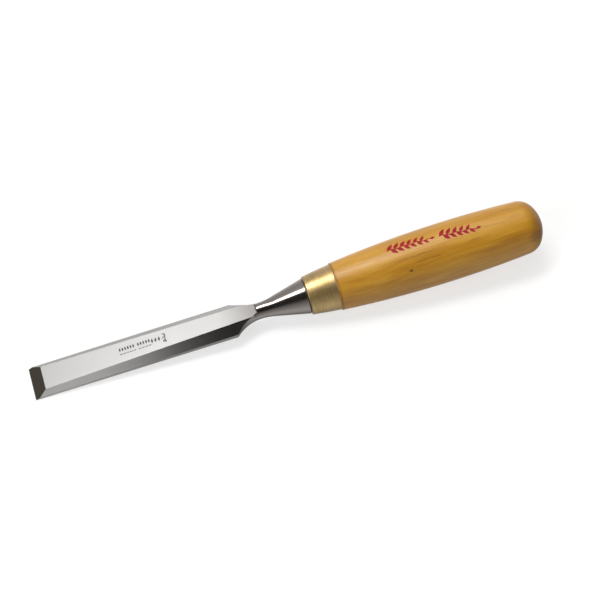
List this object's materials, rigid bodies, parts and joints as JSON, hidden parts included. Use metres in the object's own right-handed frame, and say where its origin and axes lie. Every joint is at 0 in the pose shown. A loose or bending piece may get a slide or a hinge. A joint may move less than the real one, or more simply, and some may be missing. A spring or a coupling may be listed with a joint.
{
  "type": "bevel-edge chisel",
  "caption": "Bevel-edge bench chisel: ground steel blade with round neck and conical bolster, tapered brass ferrule, turned boxwood handle with a domed butt.",
  "frame": {"origin": "middle of the cutting edge, on the flat back of the blade", "axes": "+X along the tool from the cutting edge to the butt, +Z away from the flat back (the ground face and bevels look towards +Z), +Y across the blade"},
  "size_m": [0.26, 0.0294, 0.0294],
  "materials": {
    "ground_steel": "ground and polished tool steel, fine lengthwise grinding lines",
    "brass": "turned brass, semi-bright, faint lathe lines",
    "etched_mark": "small etched marks on the face: plain ornament and a size figure, 3/4, which states the estimated width",
    "red_paint": "small stamped ornament on the handle in dark red paint",
    "boxwood": "turned boxwood under clear varnish, fine lengthwise grain"
  },
  "bodies": {
    "root": {"blade": "ground_steel", "ferrule": "brass", "handle": "boxwood"}
  },
  "joints": []
}
